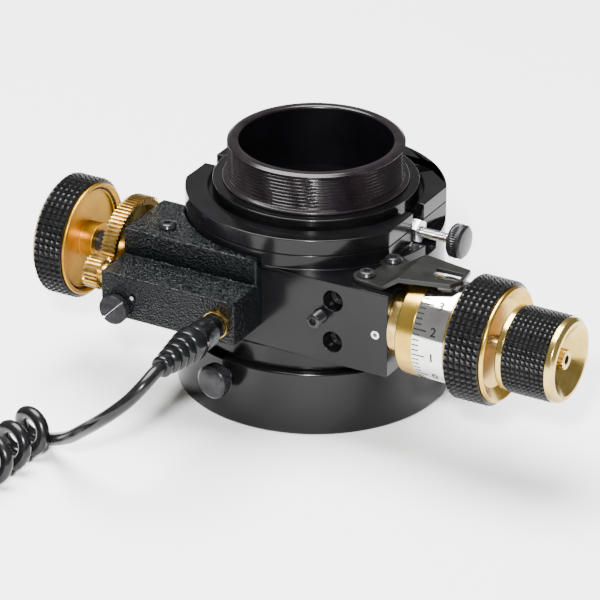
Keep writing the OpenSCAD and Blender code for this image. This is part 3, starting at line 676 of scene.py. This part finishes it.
def make_spline_screw():
    """The bright ribbed screw at the bottom of the fine knob's cone."""
    low, high = box("fine_knob_screw")
    crest = (high.z - low.z) / 2
    head = [(0, low.x), (crest, low.x), (crest, high.x - 0.35), (crest - 0.3, high.x), (1.5, high.x)]
    head += [(1.5, low.x + 1.1), (0, low.x + 1.1)]

    def shape(radius, along, angle):
        if radius > crest - 0.1:
            return radius - 0.42 * abs(math.sin(7 * angle)) ** 0.7
        if abs(radius - 1.5) < 0.01:
            return radius * 0.86 / max(math.cos(angle % (TURN / 6) - TURN / 12), 0.5)
        return radius

    bm = lathe(head, aim((0, SHAFT_Y, SHAFT_Z), (1, 0, 0)), 168, shape)
    piece("fine_socket", bm, "brass", "fine_knob_screw", sharp=40)


make_spline_screw()


# ---- threads, screws and thumbscrews ----

def make_eyepiece_thread():
    low, high = box("thread_adapter")
    outer, bore, shoulder, nipple = 25.4, 22, 26.7, 24
    start = box("drawtube")[1].z
    top = high.z
    pitch = 25.4 / 24
    ridges_from, ridges_to = start + 1.0, top - 0.55
    rows = round((ridges_to - ridges_from) / pitch * 10)
    profile = [(nipple, low.z), (nipple, start), (shoulder - 0.15, start), (shoulder, start + 0.15),
               (shoulder, start + 0.7), (shoulder - 0.2, start + 0.9)]
    profile += stretch(outer, ridges_from, ridges_to, rows)
    profile += [(outer - 0.7, top - 0.12), (outer - 0.85, top), (bore + 0.5, top)]
    profile += [(bore + 0.1, top - 0.35), (bore, top - 0.8), (bore, low.z)]
    bm = lathe(profile, Matrix.Identity(4), 192, thread(pitch, 0.62, ridges_from, ridges_to, outer))
    obj = piece("eyepiece_thread", bm, "thread_black", "thread_adapter", sharp=50)
    obj.data.materials.append(finish["bore_black"])
    for face in obj.data.polygons:
        if face.center.xy.length < (bore + 0.05) * MM:
            face.material_index = 1


THUMB_HEAD_R = 5
THUMB_PITCH = 0.7


def thumbscrew(name, node, outward, place, shank_r, shank_from, head_from, head_to, shank_finish):
    """A thumbscrew along its own axis: a knurled head with a plain face, and a threaded shank."""
    head_r = THUMB_HEAD_R
    where = aim(place, outward)
    face = head_to - head_from
    head = rounded([(0, head_from), (2.6, head_from), (2.9, head_from + 0.3),
                    (head_r - 0.5, head_from + 0.3), (head_r, head_from + 0.9),
                    (head_r, head_to - 0.7), (head_r - 0.75, head_to - 0.1),
                    (head_r - 1.1, head_to), (0, head_to)], 0.12)
    top = [p for p in head if p[1] <= head_from + 0.9]
    top += stretch(head_r, head_from + 1.0, head_to - 0.8, 12)
    top += [p for p in head if p[1] > head_to - 0.75]

    def knurl(radius, along, angle):
        inside = head_from + 0.85 < along < head_to - 0.7
        if not inside or radius < head_r - 0.2:
            return radius
        lean = (along - head_from) / face * 3.2
        return radius - 0.16 * (abs(math.sin(22 * angle + lean)) + abs(math.sin(22 * angle - lean)))

    piece(name + "_head", lathe(top, where, 176, knurl), "black_steel", node)
    rows = round((head_from - shank_from) / THUMB_PITCH * 8)
    shank = [(0, shank_from), (shank_r - 0.4, shank_from)]
    shank += stretch(shank_r, shank_from + 0.4, head_from, rows)
    shank += [(shank_r, head_from + 0.1), (0, head_from + 0.1)]
    bm = lathe(shank, where, 48, thread(THUMB_PITCH, 0.2, shank_from + 0.4, head_from + 0.01, shank_r))
    piece(name + "_shank", bm, shank_finish, node, replaced=False, sharp=50)


def make_thumbscrews():
    low, high = box("lock_thumbscrew")
    height = (low.z + high.z) / 2
    thumbscrew("lock_screw", "lock_thumbscrew", (1, 0, 0), (0, 0, height), 1.5, low.x, 43.7, high.x, "steel")
    for k in range(3):
        node = f"base_thumbscrew_{k + 1}"
        azimuth = math.radians(260 + 120 * k)
        outward = (math.cos(azimuth), math.sin(azimuth), 0)
        height = centre(node).z
        thumbscrew(f"base_screw_{k + 1}", node, outward, (0, 0, height), 1.95, 34.4, 42.4, 47.0,
                   "black_steel")


def make_tension_screw():
    low, high = box("tension_screw")
    middle = centre("tension_screw")
    where = aim((middle.x, 0, middle.z), (0, -1, 0))
    start, end = -high.y, -low.y
    profile = [(0, start), (1.9, start)] + stretch(2, start + 0.1, end - 0.3, 60)
    profile += [(1.6, end), (1.05, end), (1.05, end - 1.6), (0, end - 1.9)]

    def shape(radius, along, angle):
        if abs(radius - 1.05) < 0.01:
            return radius / max(math.cos((angle % (TURN / 6)) - TURN / 12), 0.5)
        return thread(0.7, 0.28, start + 0.1, end - 0.3, 2)(radius, along, angle)

    piece("tension_stud", lathe(profile, where, 60, shape), "black_steel", "tension_screw", sharp=45)


def make_jack_nut():
    low, high = box("jack_nut")
    start, end = -high.y, -low.y
    profile = rounded([(3, start), (4, start), (4, end), (3.6, end), (3.3, end - 0.3),
                       (3, end - 0.3)], 0.12)
    bm = lathe(profile, toward_front, 144, fluted(36, 0.22, start - 1, end - 0.05))
    piece("jack_ring_nut", bm, "brass", "jack_nut")


def make_slot_glint():
    """A painted glint: a thin bright steel strip laid at the bottom of the big slotted screw's slot, so that
    the slot shows a bright line.
    """
    low, high = box("cover_slotted_screw")
    middle = centre("cover_slotted_screw")
    r = (high.x - low.x) / 2
    bm = bmesh.new()
    half, front, back = 0.11, low.y + 0.72, low.y + 0.95
    reach = r - 0.12
    across = Vector((math.cos(math.radians(45)), 0, math.sin(math.radians(45))))
    up = Vector((-across.z, 0, across.x))
    corners = []
    for y in (front, back):
        for u, v in ((-reach, -half), (reach, -half), (reach, half), (-reach, half)):
            corners.append(bm.verts.new((Vector((middle.x, y, middle.z)) + across * u + up * v) * MM))
    for face in ((0, 1, 2, 3), (7, 6, 5, 4), (0, 4, 5, 1), (1, 5, 6, 2), (2, 6, 7, 3), (3, 7, 4, 0)):
        bm.faces.new([corners[k] for k in face])
    # the bright strip stands in for the slot's glint: a painted highlight
    piece("slot_glint_strip", bm, "steel", "cover_slotted_screw", replaced=False)


make_eyepiece_thread()
make_thumbscrews()
make_tension_screw()
make_jack_nut()
make_slot_glint()


# ---- milled and turned parts with rounded edges ----

bevelled("body_metal", "focuser_body", 0.3, "black_anodised")
bevelled("collar_metal", "top_collar", 0.3, "turned_black")
bevelled("base_metal", "base_ring", 0.35, "turned_black")
bevelled("drawtube_metal", "drawtube", 0.3, "turned_black")
bevelled("index_plate_metal", "index_plate", 0.15, "satin_black")
bevelled("cover_shell", "motor_cover", 0.55, "wrinkle_paint", 4)
bevelled("lock_nut_metal", "lock_nut", 0.2, "steel")
bevelled("slotted_screw", "cover_slotted_screw", 0.2, "black_steel")
bevelled("cover_button_screw", "cover_top_screw", 0.1, "black_steel")
bevelled("plate_button_screws", "index_plate_screws", 0.1, "black_steel")
bevelled("body_sunk_screws", "body_cap_screws", 0.1, "black_steel")


# ---- CAD nodes that show as they are ----

def paint_cad_nodes():
    for name, obj in frame["nodes"].items():
        obj.data.materials.clear()
        obj.data.materials.append(finish[slot_of[name]])


paint_cad_nodes()


# ---- floor and light ----

def make_floor():
    nodes = Nodes("paper")
    place = nodes.add("ShaderNodeTexCoord").outputs["Object"]
    drift = nodes.add("ShaderNodeTexNoise", {"Vector": place, "Scale": 3.0, "Detail": 2.0})
    ramp = nodes.add("ShaderNodeValToRGB", {"Fac": drift.outputs["Fac"]})
    ramp.color_ramp.elements[0].color = (0.93, 0.93, 0.93, 1)
    ramp.color_ramp.elements[1].color = (0.96, 0.96, 0.96, 1)
    nodes.link(ramp.outputs["Color"], "Base Color")
    nodes.shader.inputs["Roughness"].default_value = 0.9
    nodes.shader.inputs["Specular IOR Level"].default_value = 0.1
    bm = bmesh.new()
    bmesh.ops.create_grid(bm, x_segments=8, y_segments=8, size=3)
    mesh = bpy.data.meshes.new("floor")
    bm.to_mesh(mesh)
    bm.free()
    mesh.materials.append(nodes.material)
    floor = bpy.data.objects.new("floor", mesh)
    bpy.context.scene.collection.objects.link(floor)
    floor.location.z = cad_low.z


def area_light(name, place, target, size, power, colour=(1, 1, 1)):
    data = bpy.data.lights.new(name, "AREA")
    data.shape = "DISK"
    data.size = size
    data.energy = power
    data.color = colour
    light = bpy.data.objects.new(name, data)
    bpy.context.scene.collection.objects.link(light)
    light.location = place
    light.rotation_euler = (Vector(target) - Vector(place)).to_track_quat("-Z", "Y").to_euler()


def make_light():
    world = bpy.data.worlds.new("studio")
    bpy.context.scene.world = world
    world.use_nodes = True
    world.node_tree.nodes["Background"].inputs["Color"].default_value = (1, 1, 1, 1)
    world.node_tree.nodes["Background"].inputs["Strength"].default_value = 0.34
    area_light("front", (0.42, -0.95, 0.72), (0, 0, 0.03), 0.1, 34)
    area_light("above", (-0.35, 0.1, 1.5), (0, 0, 0), 1.3, 105)


make_floor()
make_light()
